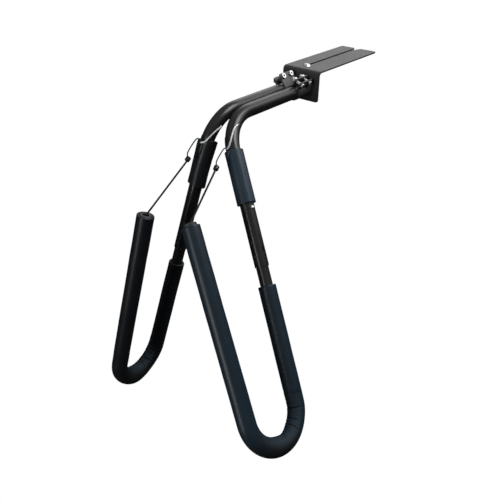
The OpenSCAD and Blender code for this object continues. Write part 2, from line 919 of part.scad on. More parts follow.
mounting_plate();
plate_bolt();
plate_washer();
plate_nut();
clamp(LEFT);  // clamp_left
clamp(RIGHT);  // clamp_right
clamp_screws(LEFT);  // clamp_screws_left
clamp_screws(RIGHT);  // clamp_screws_right
clamp_nuts(LEFT);  // clamp_nuts_left
clamp_nuts(RIGHT);  // clamp_nuts_right
arm_tube(LEFT);  // arm_tube_left
arm_tube(RIGHT);  // arm_tube_right
arm_pad(LEFT);  // arm_pad_left
arm_pad(RIGHT);  // arm_pad_right
wear_strip(LEFT);  // wear_strip_left
wear_strip(RIGHT);  // wear_strip_right
wire_hook(LEFT);  // wire_hook_left
wire_hook(RIGHT);  // wire_hook_right
cord_bead(LEFT);  // cord_bead_left
cord_bead(RIGHT);  // cord_bead_right
hook_tube(LEFT);  // hook_tube_left
hook_tube(RIGHT);  // hook_tube_right
hook_pad(LEFT);  // hook_pad_left
hook_pad(RIGHT);  // hook_pad_right
end_cap(LEFT);  // end_cap_left
end_cap(RIGHT);  // end_cap_right
elastic_cord(LEFT);  // elastic_cord_left
elastic_cord(RIGHT);  // elastic_cord_right
cord_knot(LEFT);  // cord_knot_left
cord_knot(RIGHT);  // cord_knot_right
button_spring(LEFT);  // button_spring_left
button_spring(RIGHT);  // button_spring_right
snap_button(LEFT);  // snap_button_left
snap_button(RIGHT);  // snap_button_right
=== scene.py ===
import math
import random

import bmesh
import bpy
from mathutils import Matrix, Vector


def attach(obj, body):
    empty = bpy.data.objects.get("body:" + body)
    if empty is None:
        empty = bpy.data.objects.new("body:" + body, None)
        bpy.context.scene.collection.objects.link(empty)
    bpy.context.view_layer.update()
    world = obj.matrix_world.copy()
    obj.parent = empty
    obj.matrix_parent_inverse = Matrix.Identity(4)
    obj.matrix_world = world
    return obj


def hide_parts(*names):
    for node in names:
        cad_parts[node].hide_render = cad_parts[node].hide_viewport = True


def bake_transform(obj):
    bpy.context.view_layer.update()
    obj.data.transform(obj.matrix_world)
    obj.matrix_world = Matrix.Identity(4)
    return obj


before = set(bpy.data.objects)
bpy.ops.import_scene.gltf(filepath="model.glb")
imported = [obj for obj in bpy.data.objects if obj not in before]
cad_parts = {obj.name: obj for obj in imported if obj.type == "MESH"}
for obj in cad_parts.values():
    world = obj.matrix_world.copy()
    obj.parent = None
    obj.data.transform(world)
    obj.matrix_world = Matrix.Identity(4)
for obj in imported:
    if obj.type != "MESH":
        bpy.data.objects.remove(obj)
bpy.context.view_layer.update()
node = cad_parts
bpy.ops.object.select_all(action="DESELECT")

# The camera stands at the front right, above the arms, and looks down at the rack as it hangs
# from its plate. The lens takes in the whole rack with a wide white border.
bpy.ops.object.camera_add(location=(0.6381, -0.9399, 0.2931))
camera = bpy.context.object
aim = Vector((0.0, -0.1906, -0.3630))
camera.rotation_euler = (aim - camera.location).to_track_quat("-Z", "Y").to_euler()
camera.data.sensor_width = 36.0
camera.data.lens = 37.894
bpy.context.scene.camera = camera
bpy.context.scene.view_settings.view_transform = "Standard"

# The floor lies well below the hooks: white to the camera, and dark to the light that reaches the
# rack. A studio sky lights the rack from above, bright overhead and dim at the sides, and shows
# plain white wherever the camera sees past the rack.
bpy.ops.mesh.primitive_plane_add(size=14, location=(0, 0, -2.1))
floor = bpy.context.object
floor.name = "floor"


def new_finish(name):
    finish = bpy.data.materials.new(name)
    finish.use_nodes = True
    return finish, finish.node_tree.nodes, finish.node_tree.links


white, nodes, links = new_finish("white floor")
shader = nodes["Principled BSDF"]
shader.inputs["Base Color"].default_value = (0.03, 0.03, 0.03, 1)
shader.inputs["Roughness"].default_value = 0.9
glow = nodes.new("ShaderNodeEmission")
seen = nodes.new("ShaderNodeLightPath")
pick = nodes.new("ShaderNodeMixShader")
links.new(seen.outputs["Is Camera Ray"], pick.inputs[0])
links.new(shader.outputs[0], pick.inputs[1])
links.new(glow.outputs[0], pick.inputs[2])
links.new(pick.outputs[0], nodes["Material Output"].inputs["Surface"])
floor.data.materials.append(white)

sky = bpy.data.worlds.new("studio sky")
bpy.context.scene.world = sky
sky.use_nodes = True
nodes, links = sky.node_tree.nodes, sky.node_tree.links
way = nodes.new("ShaderNodeTexCoord")
height = nodes.new("ShaderNodeSeparateXYZ")
links.new(way.outputs["Generated"], height.inputs[0])
ramp = nodes.new("ShaderNodeValToRGB")
ramp.color_ramp.elements[0].position = 0.15
ramp.color_ramp.elements[0].color = (0.012, 0.012, 0.013, 1)
ramp.color_ramp.elements[1].position = 0.8
ramp.color_ramp.elements[1].color = (0.3, 0.305, 0.315, 1)
links.new(height.outputs["Z"], ramp.inputs[0])
seen = nodes.new("ShaderNodeLightPath")
plain = nodes.new("ShaderNodeBackground")
links.new(ramp.outputs[0], nodes["Background"].inputs["Color"])
pick = nodes.new("ShaderNodeMixShader")
links.new(seen.outputs["Is Camera Ray"], pick.inputs[0])
links.new(nodes["Background"].outputs[0], pick.inputs[1])
links.new(plain.outputs[0], pick.inputs[2])
plain.inputs["Color"].default_value = (1, 1, 1, 1)
links.new(pick.outputs[0], nodes["World Output"].inputs["Surface"])

# Softboxes: a square one high up at the back right, a tall narrow one far in front, and a wide
# one behind the rack.


def softbox(name, place, aim, size, power):
    bpy.ops.object.light_add(type="AREA", location=place)
    lamp = bpy.context.object
    lamp.name = name
    lamp.rotation_euler = (Vector(aim) - Vector(place)).to_track_quat("-Z", "Y").to_euler()
    lamp.data.shape = "RECTANGLE"
    lamp.data.size, lamp.data.size_y = size
    lamp.data.energy = power


softbox("top softbox", (0.92, 0.47, 1.42), (0.0, -0.3, -0.3), (1.0, 1.0), 22)
softbox("front strip", (0.0, -2.58, 0.05), (0.0, -0.4, -0.3), (0.5, 1.5), 18)
softbox("back wall", (-0.25, 2.0, 1.1), (0.0, -0.2, -0.1), (4.3, 1.6), 31)

# Mounting plate: 3 mm steel sheet folded to an L, with one long open slot. Its dark grey powder
# coat is finely pebbled all over, and its tone varies in slow clouds.


def new_group(name, sizes, results):
    group = bpy.data.node_groups.new(name, "ShaderNodeTree")
    for label, value in sizes:
        socket = group.interface.new_socket(label, in_out="INPUT", socket_type="NodeSocketFloat")
        socket.default_value = value
    for label in results:
        group.interface.new_socket(label, in_out="OUTPUT", socket_type="NodeSocketFloat")
    return group, group.nodes.new("NodeGroupInput"), group.nodes.new("NodeGroupOutput")


# Powder grain: a fine pebbled height, and slow clouds that vary the tone
grain, into, out = new_group(
    "powder grain", [("Grain size", 900), ("Cloud size", 14)], ["Height", "Cloud"]
)
where = grain.nodes.new("ShaderNodeTexCoord")
fine = grain.nodes.new("ShaderNodeTexNoise")
fine.inputs["Detail"].default_value = 3
fine.inputs["Roughness"].default_value = 0.6
cloud = grain.nodes.new("ShaderNodeTexNoise")
cloud.inputs["Detail"].default_value = 4
grain.links.new(where.outputs["Object"], fine.inputs["Vector"])
grain.links.new(where.outputs["Object"], cloud.inputs["Vector"])
grain.links.new(into.outputs["Grain size"], fine.inputs["Scale"])
grain.links.new(into.outputs["Cloud size"], cloud.inputs["Scale"])
grain.links.new(fine.outputs["Fac"], out.inputs["Height"])
grain.links.new(cloud.outputs["Fac"], out.inputs["Cloud"])


def painted(name, dark, light, grain_size, bump, rough, gloss):
    finish, nodes, links = new_finish(name)
    shader = nodes["Principled BSDF"]
    shader.inputs["Specular IOR Level"].default_value = gloss
    texture = nodes.new("ShaderNodeGroup")
    texture.node_tree = grain
    texture.inputs["Grain size"].default_value = grain_size
    tone = nodes.new("ShaderNodeMapRange")
    tone.inputs["From Min"].default_value = 0.35
    tone.inputs["From Max"].default_value = 0.65
    speckle = nodes.new("ShaderNodeMath")
    speckle.operation = "MULTIPLY_ADD"
    speckle.inputs[1].default_value = 0.5
    links.new(texture.outputs["Height"], speckle.inputs[0])
    half = nodes.new("ShaderNodeMath")
    half.operation = "MULTIPLY"
    half.inputs[1].default_value = 0.5
    links.new(texture.outputs["Cloud"], half.inputs[0])
    links.new(half.outputs[0], speckle.inputs[2])
    links.new(speckle.outputs[0], tone.inputs["Value"])
    colour = nodes.new("ShaderNodeMix")
    colour.data_type = "RGBA"
    colour.inputs["A"].default_value = (*dark, 1)
    colour.inputs["B"].default_value = (*light, 1)
    links.new(tone.outputs["Result"], colour.inputs["Factor"])
    links.new(colour.outputs["Result"], shader.inputs["Base Color"])
    roughness = nodes.new("ShaderNodeMapRange")
    roughness.inputs["From Min"].default_value = 0.3
    roughness.inputs["From Max"].default_value = 0.7
    roughness.inputs["To Min"].default_value = rough[0]
    roughness.inputs["To Max"].default_value = rough[1]
    links.new(texture.outputs["Cloud"], roughness.inputs["Value"])
    links.new(roughness.outputs["Result"], shader.inputs["Roughness"])
    relief = nodes.new("ShaderNodeBump")
    relief.inputs["Distance"].default_value = bump
    links.new(texture.outputs["Height"], relief.inputs["Height"])
    links.new(relief.outputs["Normal"], shader.inputs["Normal"])
    return finish


def dress(name, finish):
    piece = node[name]
    piece.data.materials.clear()
    piece.data.materials.append(finish)


plate_paint = painted(
    "plate powder coat", dark=(0.024, 0.024, 0.0245), light=(0.042, 0.042, 0.042),
    grain_size=1100, bump=0.00008, rough=(0.42, 0.5), gloss=0.55,
)
dress("mounting_plate", plate_paint)

# Plate bolt, washer and nut: bright zinc plated steel. The domed head stands in the slot, and the
# washer and nut are below the carrier.


def plated(name, colour, rough):
    # Bright metal that is dulled in small clouds
    dulled = 0.72
    finish, nodes, links = new_finish(name)
    shader = nodes["Principled BSDF"]
    shader.inputs["Metallic"].default_value = 1.0
    texture = nodes.new("ShaderNodeGroup")
    texture.node_tree = grain
    texture.inputs["Grain size"].default_value = 2600
    texture.inputs["Cloud size"].default_value = 160
    tone = nodes.new("ShaderNodeMix")
    tone.data_type = "RGBA"
    tone.inputs["A"].default_value = (*[c * dulled for c in colour], 1)
    tone.inputs["B"].default_value = (*colour, 1)
    links.new(texture.outputs["Cloud"], tone.inputs["Factor"])
    links.new(tone.outputs["Result"], shader.inputs["Base Color"])
    roughness = nodes.new("ShaderNodeMapRange")
    roughness.inputs["To Min"].default_value = rough[0]
    roughness.inputs["To Max"].default_value = rough[1]
    links.new(texture.outputs["Height"], roughness.inputs["Value"])
    links.new(roughness.outputs["Result"], shader.inputs["Roughness"])
    return finish


zinc = plated("bright zinc plate", colour=(0.95, 0.96, 0.97), rough=(0.25, 0.42))
for name in ("plate_bolt", "plate_washer", "plate_nut"):
    dress(name, zinc)

# Clamps: a bent strap collar round each arm tube, welded to the flange, with two ears that the
# screws draw together. They have the plate's powder coat. The left one is painted paler, as painted
# light on its ears that face the light.
clamp_tones_left_painted_lit = {
    "left": ((0.085, 0.085, 0.086), (0.12, 0.12, 0.12)),
    "right": ((0.03, 0.03, 0.0305), (0.05, 0.05, 0.05)),
}
for side in ("left", "right"):
    dark, light = clamp_tones_left_painted_lit[side]
    clamp_paint = painted(
        side + " clamp powder coat", dark, light,
        grain_size=1100, bump=0.00008, rough=(0.44, 0.52), gloss=0.5,
    )
    dress("clamp_" + side, clamp_paint)

# Clamp screws and nuts: two zinc plated screws with hollow socket heads across the ears of each
# clamp, and a plain hexagon nut on each, all in the bolt's zinc.
for side in ("left", "right"):
    dress("clamp_screws_" + side, zinc)
    dress("clamp_nuts_" + side, zinc)

# Arm tubes: one inch steel tube in a smooth satin black powder coat, bent once, with two snap
# holes in the straight part. The coat is chipped in a few places near the lower end.
tube_paint = painted(
    "satin black powder coat", dark=(0.012, 0.012, 0.0125), light=(0.019, 0.019, 0.0195),
    grain_size=700, bump=0.00002, rough=(0.27, 0.34), gloss=0.5,
)
RIGHT, LEFT = 1, -1
side_name = {RIGHT: "right", LEFT: "left"}
TUBE_R = 0.0127
# The radius of the arm's bend, and how far the tube goes out from its clamp before it
BEND_R, REACH = 0.0835, 0.185
ARM_BEND = 72.5
splay = {RIGHT: 36.5, LEFT: -6.0}
MM = 0.001


def turned(axis, degrees):
    return Matrix.Rotation(math.radians(degrees), 4, axis)


def arm_frame(side):
    # Z runs along the arm from the end of its bend, Y outward and X to the right
    clamp = Matrix.Translation((side * 0.0155, -0.029, -0.033))
    return (
        clamp @ turned("X", 90) @ turned("Z", splay[side])
        @ Matrix.Translation((0, -BEND_R, REACH)) @ turned("X", ARM_BEND)
        @ Matrix.Translation((0, BEND_R, 0))
    )


# Chips in the paint near the arms' lower ends: how far along the arm in mm, the turn from its
# outward side in degrees, and the size in mm
chips = {
    RIGHT: [(165.9, 7, 0.9), (190.9, 4, 1.1), (198.3, 0, 0.8), (208.9, -2, 1.2)],
    LEFT: [(198.6, 1, 0.9), (209.2, 48, 1.1)],
}
nodes, links = tube_paint.node_tree.nodes, tube_paint.node_tree.links
shader = nodes["Principled BSDF"]
where = nodes.new("ShaderNodeTexCoord")
shown = shader.inputs["Base Color"].links[0].from_socket
for side in (RIGHT, LEFT):
    for along, turn, reach in chips[side]:
        turn = math.radians(turn)
        spot = Vector((TUBE_R * math.sin(turn), TUBE_R * math.cos(turn), along / 1000))
        spot = arm_frame(side) @ spot
        away = nodes.new("ShaderNodeVectorMath")
        away.operation = "DISTANCE"
        away.inputs[1].default_value = spot
        links.new(where.outputs["Object"], away.inputs[0])
        mark = nodes.new("ShaderNodeMapRange")
        # The mask fades from full, well inside the chip, to none just past its rim
        mark.inputs["From Min"].default_value = reach * 0.0011
        mark.inputs["From Max"].default_value = reach * 0.0007
        links.new(away.outputs["Value"], mark.inputs["Value"])
        chipped = nodes.new("ShaderNodeMix")
        chipped.data_type = "RGBA"
        chipped.inputs["B"].default_value = (0.34, 0.35, 0.36, 1)
        links.new(mark.outputs["Result"], chipped.inputs["Factor"])
        links.new(shown, chipped.inputs["A"])
        shown = chipped.outputs["Result"]
links.new(shown, shader.inputs["Base Color"])
for side in ("left", "right"):
    dress("arm_tube_" + side, tube_paint)

# Arm pads: a short sleeve of closed-cell foam round each arm, pushed up to its bend. Each has a
# slit near its top and rounded ends. The right one is slate blue and the left one black.


def foam(name, dark, light):
    # The tones come from the marks in the mesh: painted shade at the bottom of the bend, painted light
    # on the side of the bend that faces the light, painted shade in creases and slits, and a matte
    # mark
    finish, nodes, links = new_finish(name)
    shader = nodes["Principled BSDF"]
    shader.inputs["Specular IOR Level"].default_value = 0.3
    texture = nodes.new("ShaderNodeGroup")
    texture.node_tree = grain
    texture.inputs["Grain size"].default_value = 1500
    texture.inputs["Cloud size"].default_value = 22
    colour = nodes.new("ShaderNodeMix")
    colour.data_type = "RGBA"
    colour.inputs["A"].default_value = (*dark, 1)
    colour.inputs["B"].default_value = (*light, 1)
    links.new(texture.outputs["Cloud"], colour.inputs["Factor"])
    shown = colour.outputs["Result"]
    marks = (
        # Painted shade at the bottom of the bend
        ("shade", (0.0055, 0.0065, 0.0075, 1)),
        # Painted light: a lighter, bluer tone where the bend faces the light
        ("painted_light", (0.014, 0.029, 0.042, 1)),
        # Painted shade in the creases, folds and slits
        ("painted_crease_shade", (0.001, 0.001, 0.0015, 1)),
    )
    for mark, tone in marks:
        field = nodes.new("ShaderNodeAttribute")
        field.attribute_name = mark
        marked = nodes.new("ShaderNodeMix")
        marked.data_type = "RGBA"
        marked.inputs["B"].default_value = tone
        links.new(field.outputs["Fac"], marked.inputs["Factor"])
        links.new(shown, marked.inputs["A"])
        shown = marked.outputs["Result"]
    links.new(shown, shader.inputs["Base Color"])
    roughness = nodes.new("ShaderNodeMapRange")
    roughness.inputs["To Min"].default_value = 0.34
    roughness.inputs["To Max"].default_value = 0.42
    links.new(texture.outputs["Cloud"], roughness.inputs["Value"])
    matte = nodes.new("ShaderNodeAttribute")
    matte.attribute_name = "matte"
    rougher = nodes.new("ShaderNodeMath")
    rougher.operation = "MULTIPLY_ADD"
    rougher.inputs[1].default_value = 0.35
    links.new(matte.outputs["Fac"], rougher.inputs[0])
    links.new(roughness.outputs["Result"], rougher.inputs[2])
    links.new(rougher.outputs[0], shader.inputs["Roughness"])
    relief = nodes.new("ShaderNodeBump")
    relief.inputs["Distance"].default_value = 0.00003
    links.new(texture.outputs["Height"], relief.inputs["Height"])
    links.new(relief.outputs["Normal"], shader.inputs["Normal"])
    return finish


# The arm pads' foam is painted lighter than the same foam on the hooks, as painted light
arm_pad_lit_skin = {
    RIGHT: foam("slate blue foam painted lighter", dark=(0.018, 0.035, 0.052), light=(0.029, 0.050, 0.070)),
    LEFT: foam("black foam painted lighter", dark=(0.013, 0.0145, 0.016), light=(0.020, 0.022, 0.025)),
}


def edit(piece):
    bpy.ops.object.select_all(action="DESELECT")
    piece.select_set(True)
    bpy.context.view_layer.objects.active = piece
    bpy.ops.object.mode_set(mode="EDIT")
    bpy.ops.mesh.select_all(action="SELECT")


def close_sleeve(piece, wall, rim):
    # The skin gets its wall inward, and the two cut ends are rounded over
    bpy.ops.mesh.select_all(action="SELECT")
    bpy.ops.mesh.remove_doubles(threshold=1e-6)
    bpy.ops.mesh.normals_make_consistent(inside=False)
    bpy.ops.object.mode_set(mode="OBJECT")
    solid = piece.modifiers.new("wall", "SOLIDIFY")
    solid.thickness = wall
    solid.offset = -1
    solid.use_even_offset = True
    bpy.ops.object.modifier_apply(modifier="wall")
    soft = piece.modifiers.new("rim", "BEVEL")
    soft.width = rim
    soft.segments = 3
    soft.limit_method = "ANGLE"
    soft.angle_limit = math.radians(65)
    bpy.ops.object.modifier_apply(modifier="rim")
    bpy.ops.object.shade_smooth_by_angle(angle=math.radians(40))


def extrude_by(step, count):
    for k in range(count):
        bpy.ops.mesh.extrude_region_move(TRANSFORM_OT_translate={"value": step})


def write_field(piece, name, values):
    # One value for each point of the mesh, which a material reads by its name
    field = piece.data.attributes.new(name, "FLOAT", "POINT")
    for i, value in enumerate(values):
        field.data[i].value = value


def near_line(point, a, b):
    # How far a point in a plane is from the line between two others
    point, a, b = Vector(point), Vector(a), Vector(b)
    along = b - a
    share = max(0, min(1, (point - a).dot(along) / along.length_squared))
    return (point - a - along * share).length


# How far each pad goes down the arm and back round its bend, and its outer radius
pad_facts = {RIGHT: (0.096, 0.001, 0.0170), LEFT: (0.072, 0.012, 0.0172)}
# The radius of the pads' hole, and the one within which a point is of the inner wall
ARM_BORE, ARM_INNER = 0.0129, 0.0145
# The two ends of each slit: how far along the arm in mm, and the turn in degrees
slits = {RIGHT: ((0.8, 29), (14.6, -7)), LEFT: ((-5.2, 19), (8.1, 14))}
SLIT_WIDE, SLIT_DEEP = 0.0013, 0.0011
DENT_DEEP = 0.00022
# How far the left pad's inner edge is up, out and down from where a plain sleeve has it
EDGE_UP, EDGE_OUT, EDGE_DOWN = 0.007, 0.0016, 0.0034
PAD_RINGS = 64
for side in (RIGHT, LEFT):
    low, back, skin = pad_facts[side]
    bpy.ops.mesh.primitive_circle_add(vertices=96, radius=skin, location=(0, 0, low))
    pad = bpy.context.object
    pad.name = "arm_foam_" + side_name[side]
    bpy.ops.object.transform_apply(location=True)
    edit(pad)
    extrude_by((0, 0, -low / PAD_RINGS), PAD_RINGS)
    bpy.ops.mesh.spin(
        steps=max(2, round(back / 0.0015)), angle=back / BEND_R, center=(0, -BEND_R, 0), axis=(1, 0, 0)
    )
    close_sleeve(pad, wall=skin - ARM_BORE, rim=0.0014)
    # Shallow dents: how far along each is, its turn and its size
    chance = random.Random(7 + side)
    dents = [
        (chance.uniform(-0.01, low), chance.uniform(0, 6.28), chance.uniform(0.008, 0.02))
        for k in range(14)
    ]
    cut_a, cut_b = [(s / 1000, math.radians(turn) * skin) for s, turn in slits[side]]
    dark = []
    for v in pad.data.vertices:
        # s runs along the arm's centre line, below zero in the bend, which is undone for x and y
        x, y, z = v.co
        s, bend = z, 0
        if z < 0:
            bend = math.atan2(-z, y + BEND_R)
            s = -BEND_R * bend
            y = math.hypot(y + BEND_R, z) - BEND_R
        bent = turned("X", math.degrees(bend)).to_3x3()
        around = math.atan2(x, y)
        cut = math.exp(-(near_line((s, around * skin), cut_a, cut_b) / SLIT_WIDE) ** 2)
        # The slit is painted darker along its line, as painted shade in it
        dark.append(cut)
        radial = Vector((x, y, 0))
        if side == LEFT:
            # The inner edge reaches further up the bend
            higher = max(0, 2 * math.sin(around) - 1) * max(0, min(1, (0.012 - s) / 0.02))
            v.co -= bent @ Vector((0, 0, EDGE_UP * higher))
        if radial.length < ARM_INNER:
            continue
        push = -SLIT_DEEP * cut
        if side == LEFT:
            # It has sprung away from the tube at its top, and hangs lower at its bottom
            inward = max(0, math.sin(around))
            push += EDGE_OUT * inward * (1 + max(0, 1 - s / 0.02))
            v.co.z += EDGE_DOWN * inward * max(0, min(1, (s - 0.03) / 0.042))
        if z < 0:
            radial = bent @ radial
        for at, turn, wide in dents:
            round_it = math.sin((around - turn) / 2) * 2
            apart = ((z - at) / wide) ** 2 + (round_it / (wide * 40)) ** 2
            push -= DENT_DEEP * math.exp(-apart)
        v.co += radial.normalized() * push
    write_field(pad, "painted_crease_shade", dark)
    pad.data.transform(arm_frame(side))
    pad.data.materials.append(arm_pad_lit_skin[side])
    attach(pad, "arm_" + side_name[side])
    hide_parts("arm_pad_" + side_name[side])

# Wear strips: a thin band of dark blue film stuck to the front of each arm, where the wire would
# rub the paint. It starts above the pad and is tucked under it.
strip_film = painted(
    "dark blue film", dark=(0.006, 0.010, 0.020), light=(0.010, 0.016, 0.030),
    grain_size=500, bump=0.00002, rough=(0.3, 0.4), gloss=0.5,
)
for side in ("left", "right"):
    dress("wear_strip_" + side, strip_film)

# Wire hooks: 3.2 mm bright drawn wire that leaves a hole in the arm and is laid over the tube and
# the pad's top. Past the pad it is thinner and nearly black, and turns out to the cord's bead.
wire_skin = plated("bright drawn wire", colour=(0.96, 0.97, 0.98), rough=(0.3, 0.42))
nodes, links = wire_skin.node_tree.nodes, wire_skin.node_tree.links
shader = nodes["Principled BSDF"]
field = nodes.new("ShaderNodeAttribute")
field.attribute_name = "dark_stretch"
black = nodes.new("ShaderNodeMix")
black.data_type = "RGBA"
black.inputs["B"].default_value = (0.010, 0.011, 0.014, 1)
links.new(shader.inputs["Base Color"].links[0].from_socket, black.inputs["A"])
links.new(field.outputs["Fac"], black.inputs["Factor"])
links.new(black.outputs["Result"], shader.inputs["Base Color"])
metal = nodes.new("ShaderNodeMath")
metal.operation = "SUBTRACT"
metal.inputs[0].default_value = 0.2
metal.use_clamp = True
links.new(field.outputs["Fac"], metal.inputs[1])
links.new(metal.outputs[0], shader.inputs["Metallic"])


def on_arm(point):
    # From a length along the arm, a turn and a radius to a place in the arm's frame
    s, turn, r = point
    bend = BEND_R / MM
    back = min(s, 0) / bend
    turn = math.radians(turn)
    q = bend + r * math.cos(turn)
    return (r * math.sin(turn), q * math.cos(back) - bend, q * math.sin(back) + max(s, 0))


def round_bar(name, points, radius, steps, sides):
    # A ring is added at the first point and extruded from point to point along a smooth curve
    p = [Vector(q) for q in points]
    line = []
    for i in range(len(p) - 1):
        a, b, c, d = p[max(i - 1, 0)], p[i], p[i + 1], p[min(i + 2, len(p) - 1)]
        for k in range(steps):
            t = k / steps
            square, cube = 2 * a - 5 * b + 4 * c - d, 3 * b - a - 3 * c + d
            line.append(0.5 * (2 * b + (c - a) * t + square * t * t + cube * t ** 3))
    line.append(p[-1])
    bpy.ops.mesh.primitive_circle_add(vertices=sides, radius=radius, fill_type="NGON")
    piece = bpy.context.object
    piece.name = name
    edit(piece)
    up = Vector((0, 0, 1))
    here = Vector((0, 0, 0))
    for i, spot in enumerate(line):
        heading = (line[min(i + 1, len(line) - 1)] - line[max(i - 1, 0)]).normalized()
        if i:
            bpy.ops.mesh.extrude_region_move(TRANSFORM_OT_translate={"value": spot - here})
        mesh = bmesh.from_edit_mesh(piece.data)
        ring = [v for v in mesh.verts if v.select]
        turn = up.rotation_difference(heading).to_matrix()
        centre = spot if i else here
        for v in ring:
            v.co = spot + turn @ (v.co - centre)
        bmesh.update_edit_mesh(piece.data)
        up, here = heading, spot
    bpy.ops.mesh.select_all(action="SELECT")
    bpy.ops.mesh.normals_make_consistent(inside=False)
    bpy.ops.object.mode_set(mode="OBJECT")
    bpy.ops.object.shade_smooth_by_angle(angle=math.radians(50))
    return piece, line


# In mm and degrees: the stretch laid on the arm, as length along it, turn and radius, and the
# free stretch, as places in the arm's frame
laid = {
    RIGHT: [
        (-48.5, 90, 9), (-48.5, 90, 11.5), (-47.5, 88, 13.8), (-44, 79, 14.6), (-38, 67, 14.6),
        (-31, 59, 14.6), (-21, 49, 14.6), (-14, 39.5, 14.6), (-9, 29, 14.6), (-6, 20, 14.8),
        (-4.5, 10, 15.2),
    ],
    LEFT: [
        (-48.5, 90, 9), (-48.5, 90, 11.5), (-47.5, 89, 13.8), (-44, 83, 14.6), (-38, 71, 14.6),
        (-29, 57, 14.6), (-21, 44, 14.6), (-17, 37, 15), (-13.5, 31, 17.2), (-11, 25, 18.4),
        (-9.6, 14, 18.4),
    ],
}
free = {
    RIGHT: [
        (0.6, 16.2, -5.4), (0, 18.2, -7), (0, 21, -6), (0, 28, 0), (0, 33.2, 5.2), (0, 39, 11),
        (0, 43.2, 16), (0, 45, 19.5), (0, 46.5, 25.5),
    ],
    LEFT: [
        (0.5, 18.6, -9.8), (-0.8, 20, -12), (-0.3, 23.2, -16), (0, 27, -17.6), (0, 31.3, -15.2),
        (0, 35.5, -9.5), (0, 38.5, -4.5), (0, 42.2, 3), (0, 44.5, 10), (0, 42.5, 17.5),
    ],
}
WIRE_STEPS, WIRE_SIDES = 4, 20
WIRE_R = 1.6
THINNER = 0.3
for side in (RIGHT, LEFT):
    points = [on_arm(q) for q in laid[side]] + free[side]
    wire, line = round_bar("wire_" + side_name[side], points, WIRE_R, WIRE_STEPS, WIRE_SIDES)
    bare = WIRE_STEPS * len(laid[side])
    darkened = []
    for i, v in enumerate(wire.data.vertices):
        # Over three rings the wire gets thinner and turns nearly black
        ring = min(i // WIRE_SIDES, len(line) - 1)
        share = max(0, min(1, (ring - bare + 2) / 3))
        v.co = line[ring].lerp(v.co, 1 - THINNER * share)
        darkened.append(share)
    write_field(wire, "dark_stretch", darkened)
    wire.data.transform(arm_frame(side) @ Matrix.Scale(MM, 4))
    wire.data.materials.append(wire_skin)
    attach(wire, "arm_" + side_name[side])
    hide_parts("wire_hook_" + side_name[side])

# Elastic cords: a 3.4 mm elastic core in a black braided sleeve, from the knot inside each hook's
# end cap up to the bead. Each is taut.
braid, into, out = new_group("braid", [("Strand scale", 420)], ["Height"])
where = braid.nodes.new("ShaderNodeTexCoord")
weave = []
for slant in (0.9, -0.9):
    turn = braid.nodes.new("ShaderNodeMapping")
    turn.inputs["Rotation"].default_value = (0, 0, slant)
    braid.links.new(where.outputs["Object"], turn.inputs["Vector"])
    band = braid.nodes.new("ShaderNodeTexWave")
    braid.links.new(into.outputs["Strand scale"], band.inputs["Scale"])
    braid.links.new(turn.outputs[0], band.inputs["Vector"])
    weave.append(band)
over = braid.nodes.new("ShaderNodeMath")
over.operation = "MAXIMUM"
braid.links.new(weave[0].outputs["Fac"], over.inputs[0])
braid.links.new(weave[1].outputs["Fac"], over.inputs[1])
braid.links.new(over.outputs[0], out.inputs["Height"])

sleeving, nodes, links = new_finish("black braided sleeving")
shader = nodes["Principled BSDF"]
shader.inputs["Specular IOR Level"].default_value = 0.3
texture = nodes.new("ShaderNodeGroup")
texture.node_tree = braid
colour = nodes.new("ShaderNodeMix")
colour.data_type = "RGBA"
colour.inputs["A"].default_value = (0.004, 0.005, 0.007, 1)
colour.inputs["B"].default_value = (0.020, 0.022, 0.027, 1)
links.new(texture.outputs["Height"], colour.inputs["Factor"])
links.new(colour.outputs["Result"], shader.inputs["Base Color"])
shader.inputs["Roughness"].default_value = 0.7
relief = nodes.new("ShaderNodeBump")
relief.inputs["Distance"].default_value = 0.0003
links.new(texture.outputs["Height"], relief.inputs["Height"])
links.new(relief.outputs["Normal"], shader.inputs["Normal"])

# The hook tube's centre line: a straight leg, the J's bend and the leg that comes back up
STRAIGHT = 0.3715
J = 0.055
J_TURN = 177
J_ANGLE = math.radians(J_TURN)
J_UP = 0.3265
hook_twist = {RIGHT: 180, LEFT: 175}


def hook_turn(side):
    # Z runs down the hook tube from its upper end, and the J curves toward -Y
    return Matrix.Translation((0, 0, 0.075)) @ turned("Z", hook_twist[side])


def j_end(side):
    return (
        hook_turn(side) @ Matrix.Translation((0, -J, STRAIGHT)) @ turned("X", J_TURN)
        @ Matrix.Translation((0, J, J_UP))
    )


# In mm: where each cord ends in its bead, in the arm's frame, and its way through the cap
cord_end = {RIGHT: Vector((0, 49, 30)), LEFT: Vector((1, 41, 23))}
in_cap = [(0, 0, -22.6), (0, 0, -14.4), (0, 0, -3.6), (0, 0, 1.8), (0, -0.4, 4.1), (0, -2.4, 6.7)]
for side in (RIGHT, LEFT):
    name = side_name[side]
    route = [1000 * (j_end(side) @ (Vector(q) / 1000)) for q in in_cap]
    leaves = route[-1]
    for share in (0.16, 0.57, 1):
        route.append(leaves.lerp(cord_end[side], share))
    cord, line = round_bar("elastic_" + name, route, radius=1.7, steps=5, sides=16)
    to_row = arm_frame(side) @ Matrix.Scale(MM, 4)
    cord.data.transform(to_row)
    line = [to_row @ q for q in line]
    cord.data.materials.append(sleeving)
    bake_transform(cord)
    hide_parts("elastic_cord_" + name)
    long = sum((line[i + 1] - line[i]).length for i in range(len(line) - 1))
    dress("cord_knot_" + name, sleeving)

# Beads: a short black barrel of smooth moulded plastic that joins each cord to its wire hook. The
# cord goes into its lower end and the wire into its upper one.
bead_plastic = painted(
    "black moulded bead", dark=(0.006, 0.007, 0.010), light=(0.010, 0.012, 0.016),
    grain_size=600, bump=0.00003, rough=(0.28, 0.4), gloss=0.5,
)
for side in ("left", "right"):
    dress("cord_bead_" + side, bead_plastic)

# Hook tubes: seven-eighths inch steel tube that slides in each arm and is bent to a J, in the same
# satin black powder coat as the arms.
for side in ("left", "right"):
    dress("hook_tube_" + side, tube_paint)
